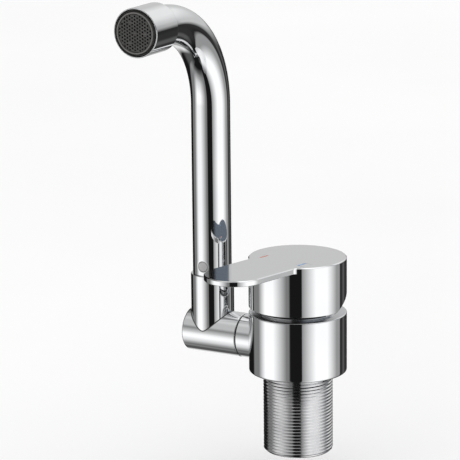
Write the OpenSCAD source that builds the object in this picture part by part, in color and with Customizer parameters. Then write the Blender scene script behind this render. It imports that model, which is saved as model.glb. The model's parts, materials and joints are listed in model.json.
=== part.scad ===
// Folding single-lever tap for a caravan sink, in millimetres.
// Origin: centre of the body's underside, where it sits on the worktop.
// +Z is up, -Y is the front, where the outlet points, and the fold hinge runs along X on the -X side.

/* [Body] */
// Diameter of the tap body
body_d = 45; // [44:0.5:48]
// Height of the body above the worktop
body_h = 28; // [27:0.2:31]
// Rounding of the body's lower edge
body_edge_r = 1; // [0.4:0.1:1.5]
// Rounding of the body's upper edge
body_lip_r = 0.5; // [0.2:0.1:0.8]

/* [Mounting shank] */
// Outer diameter of the shank's thread
shank_d = 32; // [31:0.5:33]
// Pitch of the shank's thread
shank_pitch = 1.5; // [1:0.25:2]
// Depth of the thread grooves
thread_depth = 0.9; // [0.5:0.05:1]
// Length of the shank below the worktop
shank_len = 37.7; // [25:0.1:60]
// Bore of the shank, which the hoses pass through
shank_bore_d = 26; // [24:0.5:27]
// Depth of the shank's seat in the body
shank_seat = 3; // [2:0.1:3.5]
// Tapping diameter of the two hose inlets
inlet_d = 9; // [8:0.1:9.6]
// Distance between the two hose inlets
inlet_spacing = 11.2; // [10.6:0.1:12]
// Inner diameter of the deck seal
seal_d = 35.4; // [35:0.1:38]
// Width of the deck seal
seal_w = 2.2; // [1:0.1:2.4]
// Thickness of the deck seal
seal_t = 1.4; // [0.8:0.1:1.6]

/* [Cartridge] */
// Outer diameter of the cartridge's upper housing
cartridge_d = 26; // [25:0.1:26.6]
// Bore of the cartridge's housing round the discs
cartridge_bore_d = 22; // [21:0.1:23]
// Height of the cartridge's floor above the worktop
floor_z = 10.3; // [9.3:0.1:10.6]
// Height of the cartridge's base block
base_h = 5.5; // [5:0.1:6]
// Thickness of the fixed ceramic disc
fixed_disc_t = 3; // [2:0.1:3.2]
// Thickness of the moving ceramic disc
moving_disc_t = 2.4; // [2:0.1:3]
// Height of the carrier above the moving disc
carrier_h = 3.8; // [3.6:0.1:4.4]
// Diameter of the water ports in the discs
port_d = 2.8; // [2:0.1:3]
// Thickness of the cartridge housing's flange
flange_t = 3; // [2:0.1:3.4]

/* [Lever] */
// Diameter of the lever's cap
cap_d = 45; // [44:0.5:48]
// Height of the cap's flat top above the worktop
cap_top = 53.8; // [53:0.2:58]
// Gap between the body and the cap's lower edge
cap_gap = 2.7; // [2.2:0.1:3.2]
// Height of the lift axis above the cap's lower edge
pivot_rise = 7; // [6.4:0.1:7.6]
// Slope of the cut under the cap's back, which lets the lever lift
back_slope = 26.5; // [22:0.5:30]
// Distance behind the cap's axis where that cut starts
slope_start = 1.6; // [0:0.1:4]
// Wall of the cap
cap_wall = 2; // [1.6:0.1:2.2]
// Width of the lever's tongue
tongue_w = 28; // [20:0.5:30]
// Reach of the tongue's tip from the cap's axis
tongue_reach = 56; // [48:0.5:64]
// Thickness of the tongue and of the cap's roof
tongue_t = 2.6; // [2:0.1:3]
// Radius where the tongue blends into the cap
blend_r = 2.5; // [1:0.5:10]
// Turn of the lever at rest, from straight ahead
rest_turn = -13; // [-40:1:40]
// Lift of the lever when fully open
lift_angle = 18; // [12:1:20]
// Length of the hot and cold marks
mark_len = 5.8; // [3:0.1:8]
// Width of the hot and cold marks
mark_w = 1.3; // [0.6:0.1:1.6]
// Distance of the marks from the lever's centreline
mark_side = 11.4; // [8:0.1:14]
// Distance of the marks ahead of the cap's axis
mark_ahead = 10.1; // [6:0.1:12]

/* [Fold hinge] */
// Height of the fold axis above the worktop
hinge_z = 13; // [12.8:0.1:13.4]
// Diameter of the hinge hub and of the body's boss
hub_d = 20.4; // [19.6:0.1:21]
// Reach of the body's boss from the body's axis
boss_reach = 27.4; // [26.5:0.1:30]
// Thickness of the friction washer
washer_t = 0.5; // [0.3:0.1:1]
// Diameter of the hollow hinge bolt
bolt_d = 10; // [9:0.1:10.4]
// Bore of the hollow hinge bolt
bolt_bore_d = 5.4; // [4:0.1:5.6]
// Depth of the hinge bolt's thread in the boss
bolt_grip = 7.8; // [6:0.1:8]
// Length of the hub past the spout socket
hub_overhang = 1.2; // [1:0.1:4]
// Thickness of the hub's end cap
end_cap_t = 1.6; // [1.2:0.1:2]

/* [Spout] */
// Distance of the spout's axis from the body's axis
tube_reach = 45; // [44:0.5:50]
// Outer diameter of the spout tube
tube_d = 18; // [17.4:0.1:18.4]
// Wall of the spout tube
tube_wall = 1; // [0.8:0.1:1.2]
// Outer diameter of the spout's socket
socket_d = 20; // [19.6:0.1:20.2]
// Height of the socket's rim above the worktop
socket_top = 41; // [39:0.2:48]
// Depth of the tube in its socket
tube_seat = 10.2; // [8:0.1:11]
// Height of the outlet's axis above the worktop
outlet_z = 163.2; // [130:0.2:200]
// Radius of the spout's bend, at the tube's centre
bend_r = 42.2; // [30:0.1:44]
// Height of the spigot above the socket's rim
spigot_h = 13.3; // [12.5:0.1:20]
// Diameter of the snap button
button_d = 4.6; // [4:0.1:5]
// Height of the snap button above the socket's rim
button_rise = 4.5; // [4.2:0.1:5]
// Travel of the snap button
button_travel = 2; // [1.5:0.1:2.2]

/* [Outlet] */
// Diameter of the outlet housing
housing_d = 22.2; // [21.8:0.1:24]
// Length of the outlet housing
housing_len = 18.6; // [18:0.1:24]
// Reach of the outlet's face ahead of the spout's axis
outlet_reach = 64.4; // [64:0.1:75]
// Wall of the outlet housing at its rim
rim_wall = 0.5; // [0.4:0.1:0.8]
// Diameter of the aerator's nose
nose_d = 18.6; // [17.6:0.1:19]
// Height of the aerator's nose in front of the housing's rim
nose_proud = 0.7; // [0.3:0.1:1.5]
// Distance between neighbouring holes in the aerator's face
hole_pitch = 1.5; // [1.4:0.05:2]
// Size of the holes in the aerator's face
hole_d = 0.95; // [0.6:0.05:1]

/* [Hidden] */
$fn = 96;
cut = 1;
fit = 0.05;
running = 0.06;
play = 0.3;

body_r = body_d / 2;
cap_r = cap_d / 2;
hub_r = hub_d / 2;
bolt_r = bolt_d / 2;
tube_r = tube_d / 2;
tube_in_r = tube_r - tube_wall;
socket_r = socket_d / 2;
housing_r = housing_d / 2;

// Lever and lift axis
cap_bottom = body_h + cap_gap;
pivot_z = cap_bottom + pivot_rise;
roof_z = cap_top - tongue_t;
tip_r = tongue_w / 2;
stem_w = 6;
stem_t = 7;
arm_t = 2.8;
boss_r = 7;
boss_rise = 7.1;
boss_z = pivot_z + boss_rise;
stem_gap = 0.5;
stem_top = roof_z - stem_gap;
grub_r = 2;
grub_len = 6;
grub_z = (boss_z + roof_z) / 2;
mark_depth = 0.3;
pin_r = 1.2;
pin_len = 17;

// Cartridge stack, from its floor up
ledge_z = floor_z + base_h;
flange_top = ledge_z + flange_t;
disc_z = ledge_z + fixed_disc_t;
carrier_z = disc_z + moving_disc_t;
carrier_top = carrier_z + carrier_h;
cartridge_r = cartridge_d / 2;
cartridge_bore_r = cartridge_bore_d / 2;
base_w = 1;
base_r = cartridge_r + base_w;
flange_w = 2.2;
flange_r = cartridge_r + flange_w;
nut_w = 4.8;
nut_r = cartridge_r + nut_w;
nut_play = 0.15;
nut_proud = 0.7;
nut_top = body_h + nut_proud;
nut_slot_w = 4;
nut_slot_h = 1.6;
nut_slot_reach = 2.4;
slide_play = 0.2;
neck_w = 1.4;
neck_r = cartridge_bore_r - neck_w;
rotor_flange_h = 3.3;
neck_step = carrier_top + rotor_flange_h;
rotor_flange_r = cartridge_bore_r - slide_play;
rotor_z = carrier_top + slide_play;
rotor_rise = 3.1;
rotor_top = pivot_z + rotor_rise;
housing_drop = 1.4;
housing_top = pivot_z - housing_drop;
foot_r = 1.9;
foot_play = 0.12;
foot_sink = 1.2;
foot_z = carrier_top - foot_sink;
disc_travel = (pivot_z - foot_z) * sin(lift_angle);
carrier_r = cartridge_bore_r - disc_travel - play;
inlet_port = [3, -2.6];
outlet_port = [0, 1.9];
inlet_y = -1.6;
port_web = 1.5;
passage_r = 2.1;
channel_r = 1.5;
channel_y = 1.2;
port_seal_t = 0.55;
port_seal_lip = 0.2;
port_seal_r = port_d / 2 + port_seal_t + port_seal_lip;

// Shank
shank_r = shank_d / 2;
shank_bore_r = shank_bore_d / 2;
crest_w = shank_pitch * 0.24;
root_w = shank_pitch * 0.14;
shank_chamfer = 0.8;
thread_turns = floor((shank_len - shank_chamfer) / shank_pitch);

// Hinge, as distances from the body's axis along -X
bolt_start = boss_reach - bolt_grip;
washer_gap = 0.05;
hub_start = boss_reach + washer_t + washer_gap;
hub_end = tube_reach + socket_r + hub_overhang;
head_reach = 5.4;
head_floor = tube_reach + head_reach;
head_gap = 0.1;
head_w = 2.2;
head_r = bolt_r + head_w;
head_room = 1;
head_bore_r = head_r + head_room;
cap_start = hub_end - end_cap_t;
head_clear = 0.4;
head_end = cap_start - head_clear;
end_cap_seat = 0.7;
end_cap_r = head_bore_r + end_cap_seat;
end_cap_edge = 0.4;
gallery_w = 6;
gallery_depth = 2;
gallery_r = bolt_r + gallery_depth;
cross_hole_r = 2;
hub_ring_t = 0.6;
seal_ease = 0.02;
groove_side = 0.3;
hub_ring_r = bolt_r - hub_ring_t + seal_ease;
near_ring = 7;
far_ring = 4.2;
hub_rings = [tube_reach - near_ring, tube_reach + far_ring];
washer_inset = 0.7;
hub_lip = 0.3;
hub_edge = 1;

// Spout, button and spigot
tube_bottom = socket_top - tube_seat;
bend_z = outlet_z - bend_r;
spigot_play = 0.1;
spigot_r = tube_in_r - spigot_play;
spigot_step = 0.7;
spigot_low_r = spigot_r - spigot_step;
spigot_root = 6.5;
spigot_low = tube_bottom - spigot_root;
spigot_top = socket_top + spigot_h;
spigot_bore_r = 3.2;
spigot_bore_wall = 2.2;
spigot_well = 0.8;
spigot_bore_y = tube_in_r - spigot_bore_r - spigot_bore_wall;
ring_t = 0.8;
ring_play = 0.04;
ring_r = tube_in_r - ring_t - ring_play;
low_ring = 5;
top_ring = 2.8;
spigot_rings = [tube_bottom + low_ring, spigot_top - top_ring];
button_r = button_d / 2;
button_z = socket_top + button_rise;
button_play = 0.2;
button_proud = 0.15;
button_face = tube_r + button_proud;
button_flange_w = 0.5;
button_flange_r = button_r + button_flange_w;
button_flange_t = 1;
button_stop = 0.25;
button_flange_y = sqrt(tube_in_r * tube_in_r - button_flange_r * button_flange_r) - button_stop;
button_back = button_flange_y - button_flange_t;
spring_room = 1.6;
button_hole_y = button_back - button_travel - spring_room;
spring_r = 1.9;
spring_wire = 0.5;

// Outlet, as distances along -Y from the spout's axis
housing_back = outlet_reach - housing_len;
sleeve_len = 7.4;
tube_end = housing_back + sleeve_len;
stop_t = 1.5;
seal_step = tube_end + stop_t;
stop_h = 0.4;
thread_r = housing_r - rim_wall;
washer_h = 1.5;
cage_back = seal_step + washer_h;
housing_back_edge = 0.8;
housing_front_edge = 0.3;
nose_r = nose_d / 2;
cage_inset = 2;
nose_back = outlet_reach - cage_inset;
cage_front = outlet_reach + nose_proud;
nose_wall = 0.7;
cage_bore_r = nose_r - nose_wall;
screen_t = 1.2;
screen_inset = 0.3;
screen_front = cage_front - screen_inset;
flow_disc_t = 2;
flow_ring = 0.7;
hole_rings = 6;
hole_margin = 0.15;

// Places a piece that is drawn along +Z on the fold axis, running away from the body along -X
module on_hinge(reach) {
    translate([-reach, 0, hinge_z]) rotate([0, -90, 0]) children();
}

// Places a piece that is drawn along +Z on the outlet's axis, running forwards along -Y
module on_outlet(reach) {
    translate([-tube_reach, -reach, outlet_z]) rotate([90, 0, 0]) children();
}

// Places a piece that is drawn along +Z on the button's axis, running forwards along -Y
module on_button(reach) {
    translate([-tube_reach, -reach, button_z]) rotate([90, 0, 0]) children();
}

// Turns a piece of the lever to its rest position
module at_lever_rest() {
    rotate([0, 0, rest_turn]) children();
}

// The corner that a rounding of radius e takes off a bar's edge at radius r and height z
module edge_cut(r, z, e, side) {
    translate([r, z]) difference() {
        translate([-e, side > 0 ? -e : -cut]) square(e + cut);
        translate([-e, -side * e]) circle(e);
    }
}

// A round bar from height z0 to z1 with rounded edges
module round_bar(r, z0, z1, low_e, high_e) {
    rotate_extrude() difference() {
        translate([0, z0]) square([r, z1 - z0]);
        if (low_e > 0) edge_cut(r, z0, low_e, -1);
        if (high_e > 0) edge_cut(r, z1, high_e, 1);
    }
}

// A flat ring that starts at height z
module ring(r_out, r_in, z, h) {
    translate([0, 0, z]) difference() {
        cylinder(r = r_out, h = h);
        translate([0, 0, -cut]) cylinder(r = r_in, h = h + 2 * cut);
    }
}

// A plain bore from height z0 to z1
module bore(r, z0, z1) {
    translate([0, 0, z0]) cylinder(r = r, h = z1 - z0);
}

// A round seal with its centre at height z
module o_ring(major, minor, z) {
    translate([0, 0, z]) rotate_extrude() translate([major, 0]) circle(minor, $fn = 32);
}

// The square groove that a round seal sits in
module ring_groove(r_shaft, r_floor, z, w) {
    ring(r_shaft + cut, r_floor, z - w / 2, w);
}

// Puts a child at each of the two inlet ports
module at_inlet_ports() {
    for (side = [-1, 1]) translate([side * inlet_port[0], inlet_port[1], 0]) children();
}

// Chromed brass body with its side boss, cartridge chamber and hose inlets
module body_shell() {
    color("silver") difference() {
        union() {
            round_bar(body_r, 0, body_h, body_edge_r, body_lip_r);
            on_hinge(0) cylinder(r = hub_r, h = boss_reach);
        }
        bore(nut_r + fit, ledge_z, body_h + cut);
        bore(base_r + fit, floor_z, ledge_z + cut);
        bore(shank_r - thread_depth + fit, -cut, shank_seat);
        for (side = [-1, 1]) translate([side * inlet_spacing / 2, inlet_y, 0])
            bore(inlet_d / 2, 0, floor_z - port_web);
        at_inlet_ports() bore(port_d / 2, 0, floor_z + cut);
        ring(seal_d / 2 + seal_w + fit, seal_d / 2 - fit, -cut, seal_t + fit + cut);
        on_hinge(bolt_start) cylinder(r = bolt_r + fit, h = bolt_grip + cut);
        on_hinge(base_r) cylinder(r = passage_r, h = bolt_start - base_r + cut);
    }
}

// One groove of the shank's thread, as a cut below height z
function groove_points(z) = [
    [shank_r + cut, z - crest_w / 2],
    [shank_r, z - crest_w / 2],
    [shank_r - thread_depth, z - (shank_pitch - root_w) / 2],
    [shank_r - thread_depth, z - (shank_pitch + root_w) / 2],
    [shank_r, z - shank_pitch + crest_w / 2],
    [shank_r + cut, z - shank_pitch + crest_w / 2]
];

// Hollow threaded shank that goes through the worktop and up into the body
module threaded_shank() {
    color("lightgray") rotate_extrude() difference() {
        union() {
            translate([shank_bore_r, -shank_len]) square([shank_r - shank_bore_r, shank_len]);
            translate([shank_bore_r, -cut])
                square([shank_r - thread_depth - shank_bore_r, shank_seat - fit + cut]);
        }
        for (turn = [0 : thread_turns - 1]) polygon(groove_points(-turn * shank_pitch));
        polygon([
            [shank_r - shank_chamfer, -shank_len - cut],
            [shank_r - shank_chamfer, -shank_len],
            [shank_r, -shank_len + shank_chamfer],
            [shank_r + cut, -shank_len + shank_chamfer],
            [shank_r + cut, -shank_len - cut]
        ]);
    }
}

// Flat rubber ring in the body's underside
module deck_seal() {
    color("dimgray") ring(seal_d / 2 + seal_w, seal_d / 2, 0, seal_t);
}

// Lower block of the cartridge, with two inlets and one outlet to the side
module cartridge_base() {
    color("gainsboro") difference() {
        bore(base_r, floor_z, ledge_z);
        at_inlet_ports() {
            bore(port_d / 2, floor_z - cut, ledge_z + cut);
            ring(port_seal_r + port_seal_t + fit, port_seal_r - port_seal_t - fit,
                floor_z - cut, 2 * port_seal_t + fit + cut);
        }
        translate([outlet_port[0], outlet_port[1], 0]) bore(port_d / 2, hinge_z, ledge_z + cut);
        translate([0, channel_y, 0]) on_hinge(-port_d / 2)
            cylinder(r = channel_r, h = base_r + port_d / 2 + cut);
    }
}

// Two round seals between the cartridge's base and the body's floor
module cartridge_base_seals() {
    color("black") at_inlet_ports() o_ring(port_seal_r, port_seal_t, floor_z + port_seal_t);
}

// Ceramic disc that stays still, with its three ports
module fixed_ceramic_disc() {
    color("white") difference() {
        bore(cartridge_bore_r - fit, ledge_z, disc_z);
        at_inlet_ports() bore(port_d / 2, ledge_z - cut, disc_z + cut);
        translate([outlet_port[0], outlet_port[1], 0]) bore(port_d / 2, ledge_z - cut, disc_z + cut);
    }
}

// Upper shell of the cartridge, which holds the discs and guides the rotor
module cartridge_housing() {
    color("dimgray") difference() {
        union() {
            bore(flange_r, ledge_z, flange_top);
            bore(cartridge_r, ledge_z, housing_top);
        }
        bore(cartridge_bore_r, ledge_z - cut, neck_step);
        bore(neck_r + running, neck_step - cut, housing_top + cut);
    }
}

// Threaded ring that clamps the cartridge's flange in the body
module cartridge_nut() {
    color("silver") difference() {
        ring(nut_r, cartridge_r + nut_play, flange_top, nut_top - flange_top);
        for (turn = [0 : 90 : 270]) rotate([0, 0, turn])
            translate([0, -nut_slot_w / 2, nut_top - nut_slot_h])
                cube([cartridge_r + nut_slot_reach, nut_slot_w, nut_slot_h + cut]);
    }
}

// Rotor that turns with the lever and carries the stem's pin
module cartridge_rotor() {
    slot_front = 7.2;
    slot_back = 5;
    slot_w = stem_w + slide_play;
    color("lightsteelblue") at_lever_rest() difference() {
        union() {
            bore(rotor_flange_r, rotor_z, neck_step - slide_play);
            bore(neck_r, rotor_z, rotor_top);
        }
        translate([-slot_w / 2, -slot_front, rotor_z - cut])
            cube([slot_w, slot_front + slot_back, rotor_top - rotor_z + 2 * cut]);
        translate([0, 0, pivot_z]) rotate([0, 90, 0])
            cylinder(r = pin_r + fit, h = pin_len + 2 * fit, center = true);
    }
}

// Steel pin that the stem tilts on
module stem_pivot_pin() {
    color("gray") at_lever_rest() translate([0, 0, pivot_z]) rotate([0, 90, 0])
        cylinder(r = pin_r, h = pin_len, center = true);
}

// Ceramic disc that slides and turns on the fixed one, with its mixing pocket underneath
module moving_ceramic_disc() {
    pocket_r = 2.1;
    pocket_depth = 1.2;
    pocket_front = 1.5;
    pocket_back = 2.6;
    color("ivory") at_lever_rest() difference() {
        bore(carrier_r - slide_play, disc_z + seal_ease, carrier_z);
        translate([0, 0, disc_z - cut]) linear_extrude(pocket_depth + cut) {
            translate([0, pocket_back]) circle(pocket_r);
            translate([0, pocket_front]) circle(pocket_r);
            translate([-pocket_r, pocket_front]) square([2 * pocket_r, pocket_back - pocket_front]);
        }
    }
}

// Plastic carrier that the stem's foot pushes to and fro
module disc_carrier() {
    slot_w = stem_w + 2 * slide_play;
    slot_half = foot_r + foot_play;
    floor_t = 0.5;
    color("slategray") at_lever_rest() difference() {
        bore(carrier_r, carrier_z, carrier_top);
        translate([-slot_w / 2, -slot_half, carrier_z + floor_t])
            cube([slot_w, 2 * slot_half, carrier_h]);
    }
}

// Stem that tilts on its pin, with a square end for the lever and a foot for the carrier
module cartridge_stem() {
    shoulder_z = pivot_z - stem_t / 2;
    color("gray") at_lever_rest() difference() {
        union() {
            translate([-stem_w / 2, -stem_t / 2, shoulder_z]) cube([stem_w, stem_t, stem_top - shoulder_z]);
            translate([-stem_w / 2, -arm_t / 2, foot_z]) cube([stem_w, arm_t, shoulder_z - foot_z + cut]);
            translate([0, 0, foot_z]) rotate([0, 90, 0]) cylinder(r = foot_r, h = stem_w, center = true);
        }
        translate([0, 0, pivot_z]) rotate([0, 90, 0])
            cylinder(r = pin_r + running, h = stem_w + 2 * cut, center = true);
    }
}

// Wedge that is cut away under the cap's back, so that the cap clears the body when the lever lifts
module back_wedge() {
    far = cap_r + cut;
    translate([-far, 0, cap_bottom]) rotate([90, 0, 90]) linear_extrude(2 * far) polygon([
        [slope_start - cut / tan(back_slope), -cut],
        [far, -cut],
        [far, (far - slope_start) * tan(back_slope)]
    ]);
}

// Plan of the lever's tongue, with its round tip and its blends into the cap
module tongue_plan() {
    tip_y = -(tongue_reach - tip_r);
    blend_x = tip_r + blend_r;
    blend_y = -sqrt(pow(cap_r + blend_r, 2) - blend_x * blend_x);
    touch = cap_r / (cap_r + blend_r);
    translate([-tip_r, tip_y]) square([tongue_w, -tip_y]);
    translate([0, tip_y]) circle(tip_r);
    for (side = [-1, 1]) difference() {
        polygon([
            [0, 0],
            [side * blend_x * touch, blend_y * touch],
            [side * blend_x, blend_y],
            [side * tip_r, blend_y],
            [0, blend_y]
        ]);
        translate([side * blend_x, blend_y]) circle(blend_r);
    }
}

// Plan of one mark, a short bar with round ends
module mark_plan(grow) {
    bar = mark_len - mark_w;
    translate([-mark_w / 2 - grow, -bar / 2]) square([mark_w + 2 * grow, bar]);
    for (end = [-1, 1]) translate([0, end * bar / 2]) circle(mark_w / 2 + grow);
}

// Puts a mark's plan on the cap's top at one side
module at_mark(side, z) {
    translate([side * mark_side, -mark_ahead, z]) children();
}

// Chromed lever: a hollow cap with a flat tongue and a socket for the stem
module lever_handle() {
    color("silver") at_lever_rest() difference() {
        union() {
            difference() {
                union() {
                    bore(cap_r, cap_bottom, cap_top);
                    translate([0, 0, roof_z]) linear_extrude(tongue_t) tongue_plan();
                }
                bore(cap_r - cap_wall, cap_bottom - cut, roof_z);
                back_wedge();
            }
            bore(boss_r, boss_z, roof_z + cut);
        }
        translate([-stem_w / 2 - fit, -stem_t / 2 - fit, boss_z - cut])
            cube([stem_w + 2 * fit, stem_t + 2 * fit, stem_top - boss_z + cut + fit]);
        translate([0, cap_r + cut, grub_z]) rotate([90, 0, 0]) cylinder(r = grub_r + fit, h = cap_r + cut);
        for (side = [-1, 1]) at_mark(side, cap_top - mark_depth)
            linear_extrude(mark_depth + cut) mark_plan(seal_ease);
    }
}

// Socket screw that fixes the lever to the stem
module lever_grub_screw() {
    hex_r = 1.1;
    hex_depth = 2;
    start = stem_t / 2 + seal_ease;
    color("dimgray") at_lever_rest() translate([0, start, grub_z]) rotate([-90, 0, 0]) difference() {
        cylinder(r = grub_r, h = grub_len);
        translate([0, 0, grub_len - hex_depth]) cylinder(r = hex_r, h = hex_depth + cut, $fn = 6);
    }
}

// Enamel bar in its groove in the cap's top
module mark(side) {
    at_lever_rest() at_mark(side, cap_top - mark_depth + seal_ease)
        linear_extrude(mark_depth - seal_ease) mark_plan(0);
}

// Red bar on the side nearest the spout
module hot_mark() {
    color("red") mark(-1);
}

// Blue bar on the far side
module cold_mark() {
    color("royalblue") mark(1);
}

// Hollow bolt that the spout's hub turns on and the water flows through
module hinge_bolt() {
    bore_end = tube_reach + cross_hole_r + head_clear;
    groove_w = 2 * hub_ring_t + groove_side;
    hex_r = 3;
    hex_depth = 2.4;
    color("lightgray") difference() {
        union() {
            on_hinge(bolt_start) cylinder(r = bolt_r, h = head_end - bolt_start);
            on_hinge(head_floor + head_gap)
                cylinder(r = head_r, h = head_end - head_floor - head_gap, $fn = 6);
        }
        on_hinge(bolt_start - cut) cylinder(r = bolt_bore_d / 2, h = bore_end - bolt_start + cut);
        on_hinge(tube_reach) for (turn = [0, 90]) rotate([0, 90, turn])
            cylinder(r = cross_hole_r, h = 2 * bolt_r + cut, center = true);
        for (reach = hub_rings) on_hinge(reach) ring_groove(bolt_r, bolt_r - 2 * hub_ring_t, 0, groove_w);
        on_hinge(head_end - hex_depth) cylinder(r = hex_r, h = hex_depth + cut, $fn = 6);
    }
}

// Two round seals on the hinge bolt, one each side of the water holes
module hinge_bolt_seals() {
    color("black") for (reach = hub_rings) on_hinge(reach) o_ring(hub_ring_r, hub_ring_t, 0);
}

// Thin washer whose grip holds the spout where it is put
module hinge_friction_washer() {
    color("black") on_hinge(boss_reach) ring(hub_r - washer_inset, bolt_r + running, 0, washer_t);
}

// Hub that turns on the hinge bolt, with the socket for the spout standing on it
module swing_hub() {
    color("silver") difference() {
        union() {
            on_hinge(hub_start) round_bar(hub_r, 0, hub_end - hub_start, hub_lip, hub_edge);
            translate([-tube_reach, 0, 0]) round_bar(socket_r, hinge_z, socket_top, 0, hub_lip);
        }
        on_hinge(hub_start - cut) cylinder(r = bolt_r + running, h = hub_end - hub_start);
        on_hinge(tube_reach - gallery_w / 2) cylinder(r = gallery_r, h = gallery_w);
        on_hinge(head_floor) cylinder(r = head_bore_r, h = hub_end - head_floor + cut);
        on_hinge(cap_start) cylinder(r = end_cap_r + fit, h = end_cap_t + cut);
        translate([-tube_reach, 0, 0]) {
            bore(tube_r + fit, tube_bottom, socket_top + cut);
            bore(spigot_low_r + fit, spigot_low, tube_bottom + cut);
            bore(spigot_bore_r + spigot_well, hinge_z, spigot_low + cut);
        }
    }
}

// Round cap that closes the hub's end over the bolt's head
module hub_end_cap() {
    color("silver") on_hinge(cap_start) round_bar(end_cap_r, 0, end_cap_t, 0, end_cap_edge);
}

// Pipe stub in the socket that the spout tube slides on to
module spout_spigot() {
    groove_w = 2 * ring_t + groove_side;
    color("goldenrod") difference() {
        translate([-tube_reach, 0, 0]) {
            bore(spigot_low_r, spigot_low, tube_bottom);
            bore(spigot_r, tube_bottom, spigot_top);
        }
        translate([-tube_reach, spigot_bore_y, 0]) bore(spigot_bore_r, spigot_low - cut, spigot_top + cut);
        translate([-tube_reach, 0, 0]) for (z = spigot_rings)
            ring_groove(spigot_r, ring_r - ring_t - seal_ease, z, groove_w);
        on_button(button_hole_y) cylinder(r = button_flange_r + running, h = tube_r);
    }
}

// Two round seals between the spigot and the tube
module spigot_seals() {
    color("black") translate([-tube_reach, 0, 0]) for (z = spigot_rings) o_ring(ring_r, ring_t, z);
}

// Snap button that locks the tube on its spigot
module lock_button() {
    color("lightgray") {
        on_button(button_back) cylinder(r = button_flange_r, h = button_flange_t);
        on_button(button_back) cylinder(r = button_r, h = button_face - button_back);
    }
}

// Small spring behind the button, drawn as the sleeve it fills
module button_spring() {
    color("gray") on_button(button_hole_y + seal_ease)
        ring(spring_r, spring_r - spring_wire, 0, button_back - button_hole_y - 2 * seal_ease);
}

// A rod of radius r that follows the spout: up, round the bend and forwards
module spout_rod(r, over) {
    translate([-tube_reach, 0, 0]) bore(r, tube_bottom - over, bend_z);
    translate([-tube_reach, -bend_r, bend_z]) rotate([90, 0, 90])
        rotate_extrude(angle = 90) translate([bend_r, 0]) circle(r);
    on_outlet(bend_r) cylinder(r = r, h = tube_end - bend_r + over);
}

// Bent spout tube with the button's hole in its front
module spout_tube() {
    color("silver") difference() {
        spout_rod(tube_r, 0);
        spout_rod(tube_in_r, cut);
        on_button(tube_in_r / 2) cylinder(r = button_r + button_play, h = tube_in_r / 2 + 2 * tube_wall);
    }
}

// Sleeve on the tube's end that holds the aerator
module outlet_housing() {
    lip_r = tube_in_r + stop_h;
    color("silver") on_outlet(0) difference() {
        round_bar(housing_r, housing_back, outlet_reach, housing_back_edge, housing_front_edge);
        bore(tube_r + fit, housing_back - cut, tube_end + fit);
        bore(lip_r, tube_end, seal_step + cut);
        bore(thread_r, seal_step, outlet_reach + cut);
    }
}

// Flat rubber washer behind the aerator
module aerator_seal() {
    color("black") on_outlet(0) ring(thread_r - slide_play, tube_in_r - stop_h, seal_step, washer_h);
}

// Disc with a ring of small holes that evens out the flow
module aerator_flow_disc() {
    holes = 12;
    color("dimgray") on_outlet(0) difference() {
        bore(cage_bore_r - fit, cage_back, cage_back + flow_disc_t);
        for (turn = [0 : 360 / holes : 359]) rotate([0, 0, turn])
            translate([cage_bore_r * flow_ring, 0, cage_back - cut])
                cylinder(r = hole_d / 2, h = flow_disc_t + 2 * cut, $fn = 6);
    }
}

// Threaded cup of the aerator, with a narrower nose
module aerator_cage() {
    color("dimgray") on_outlet(0) difference() {
        union() {
            bore(thread_r - fit, cage_back, nose_back);
            bore(nose_r, cage_back, cage_front);
        }
        bore(cage_bore_r, cage_back - cut, cage_front + cut);
    }
}

// Place of a hole in the aerator's honeycomb, whose columns stand upright
function hole_place(column, step) = [
    hole_pitch * column * sqrt(3) / 2,
    hole_pitch * (step + column / 2)
];

// True where the aerator's face has a hole and not one of its four blanks
function is_open(column, step) =
    let (
        place = hole_place(column, step),
        blanks = [for (turn = [0, 120, 240]) 2 * sqrt(3) * hole_pitch * [cos(turn), sin(turn)]]
    )
    norm(place) > hole_pitch / 2
    && norm(place) < cage_bore_r - hole_d / 2 - hole_margin
    && min([for (blank = blanks) norm(place - blank)]) > hole_pitch / 2;

// Face of the aerator, a plate with a honeycomb of small holes
module aerator_screen() {
    color("gray") on_outlet(0) difference() {
        bore(cage_bore_r - fit, screen_front - screen_t, screen_front);
        for (column = [-hole_rings : hole_rings], step = [-hole_rings : hole_rings])
            if (is_open(column, step)) translate(concat(hole_place(column, step), screen_front - screen_t - cut))
                cylinder(r = hole_d / 2, h = screen_t + 2 * cut, $fn = 6);
    }
}

body_shell();
threaded_shank();
deck_seal();
cartridge_base();
cartridge_base_seals();
fixed_ceramic_disc();
cartridge_housing();
cartridge_nut();
cartridge_rotor();
stem_pivot_pin();
moving_ceramic_disc();
disc_carrier();
cartridge_stem();
lever_handle();
lever_grub_screw();
hot_mark();
cold_mark();
hinge_bolt();
hinge_bolt_seals();
hinge_friction_washer();
swing_hub();
hub_end_cap();
spout_spigot();
spigot_seals();
lock_button();
button_spring();
spout_tube();
outlet_housing();
aerator_seal();
aerator_flow_disc();
aerator_cage();
aerator_screen();
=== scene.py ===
"""Looks of a folding caravan tap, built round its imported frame. Lengths are in metres."""
import json
import math

import bmesh
import bpy
import numpy as np
from mathutils import Matrix, Vector
from mathutils.geometry import tessellate_polygon


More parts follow.
